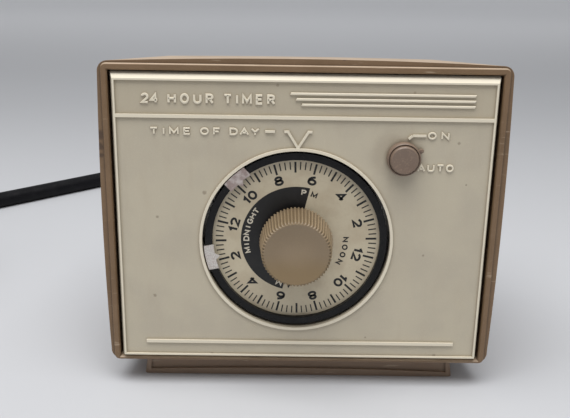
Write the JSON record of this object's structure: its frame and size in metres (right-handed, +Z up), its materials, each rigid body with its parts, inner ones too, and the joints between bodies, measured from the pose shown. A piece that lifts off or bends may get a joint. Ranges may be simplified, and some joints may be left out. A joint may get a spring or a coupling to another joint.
{
  "type": "plug-in lamp timer",
  "caption": "Tabletop twenty-four hour plug-in timer: tapered plastic case on a pedestal, panel with turning dial, sliding trippers, mode knob, motor, switch, receptacle and cord.",
  "frame": {"origin": "on the table under the middle of the case's own bounding box, with the cord and its pieces left out", "axes": "+X to the right seen from the front, along the case's width; +Y from the front panel towards the back cover; +Z up"},
  "size_m": [0.3078, 0.2635, 0.1013],
  "materials": {
    "case_brown": "moulded, satin, slightly worn",
    "panel_cream": "moulded, fine matte texture",
    "dial_face": "printed, semi-gloss",
    "rim_black": "moulded, satin",
    "knob_tan": "moulded, satin",
    "mode_brown": "moulded, satin",
    "tripper_metal": "plated sheet",
    "plate_steel": "zinc plated",
    "gear_brass": "cut and polished",
    "shaft_steel": "ground",
    "screw_steel": "plated",
    "core_steel": "varnished laminations",
    "winding": "taped and varnished",
    "bobbin": "moulded",
    "can_metal": "drawn",
    "phenolic": "laminate sheet",
    "contact_metal": "plated strip",
    "receptacle_plastic": "moulded",
    "lead_insulation": "extruded",
    "cord_black": "smooth jacket",
    "plug_black": "moulded"
  },
  "bodies": {
    "housing": {"case_shell": "case_brown", "front_panel": "panel_cream", "base_pedestal": "case_brown", "back_cover": "case_brown", "receptacle_body": "receptacle_plastic", "receptacle_contacts": "contact_metal", "panel_screws": "screw_steel", "cover_screws": "screw_steel", "base_screws": "screw_steel", "movement_front_plate": "plate_steel", "movement_rear_plate": "plate_steel", "plate_pillars": "gear_brass", "pillar_screws": "screw_steel", "movement_screws": "screw_steel", "dial_bush": "gear_brass", "stator_core": "core_steel", "coil_bobbin": "bobbin", "coil_winding": "winding", "motor_gearcase": "can_metal", "motor_spacers": "gear_brass", "motor_screws": "screw_steel", "switch_base": "phenolic", "fixed_contact": "contact_metal", "switch_spacers": "gear_brass", "detent_spring": "plate_steel", "internal_leads": "lead_insulation", "strain_relief": "plug_black", "power_cord": "cord_black", "cord_coil": "cord_black", "cord_tail": "cord_black", "plug_body": "plug_black", "plug_blades": "contact_metal"},
    "dial": {"time_knob": "knob_tan", "dial_disc": "dial_face", "dial_rim": "rim_black", "dial_carrier": "plate_steel", "dial_arbor": "shaft_steel", "dial_gear": "gear_brass", "clutch_washer": "plate_steel", "dial_clip": "screw_steel"},
    "on_clip": {"on_tripper": "tripper_metal"},
    "off_clip": {"off_tripper": "tripper_metal"},
    "idler": {"idler_arbor": "shaft_steel", "idler_pinion": "gear_brass", "idler_wheel": "gear_brass"},
    "motor_output": {"motor_pinion": "gear_brass", "motor_shaft": "shaft_steel"},
    "mode": {"mode_knob": "mode_brown", "mode_shaft": "shaft_steel", "mode_clip": "screw_steel", "mode_cam": "phenolic"},
    "switch": {"trip_lever": "plate_steel", "switch_spindle": "shaft_steel", "moving_contact": "contact_metal"}
  },
  "joints": [
    {"name": "dial_turn", "type": "hinge", "parent": "housing", "child": "dial", "pos_m": [-0.0018, -0.028, 0.04775], "axis": [0, 1, 0], "continuous": true},
    {"name": "on_clip_slide", "type": "hinge", "parent": "dial", "child": "on_clip", "pos_m": [-0.0018, -0.028, 0.04775], "axis": [0, -1, 0], "range_deg": [-140, 20]},
    {"name": "off_clip_slide", "type": "hinge", "parent": "dial", "child": "off_clip", "pos_m": [-0.0018, -0.028, 0.04775], "axis": [0, -1, 0], "range_deg": [-20, 140]},
    {"name": "idler_turn", "type": "hinge", "parent": "housing", "child": "idler", "pos_m": [0.01786, -0.012, 0.03398], "axis": [0, 1, 0], "continuous": true},
    {"name": "motor_turn", "type": "hinge", "parent": "housing", "child": "motor_output", "pos_m": [0.00142, -0.008, 0.028], "axis": [0, 1, 0], "continuous": true},
    {"name": "mode_turn", "type": "hinge", "parent": "housing", "child": "mode", "pos_m": [0.0283, -0.03, 0.0739], "axis": [0, -1, 0], "range_deg": [0, 52]},
    {"name": "switch_turn", "type": "hinge", "parent": "housing", "child": "switch", "pos_m": [0.014, -0.018, 0.083], "axis": [0, 1, 0], "range_deg": [0, 5.5], "stiffness_Nm_per_rad": 0.002}
  ],
  "couplings": [
    {"joint": "idler_turn", "follows": "dial_turn", "ratio": -4},
    {"joint": "motor_turn", "follows": "dial_turn", "ratio": 24}
  ]
}
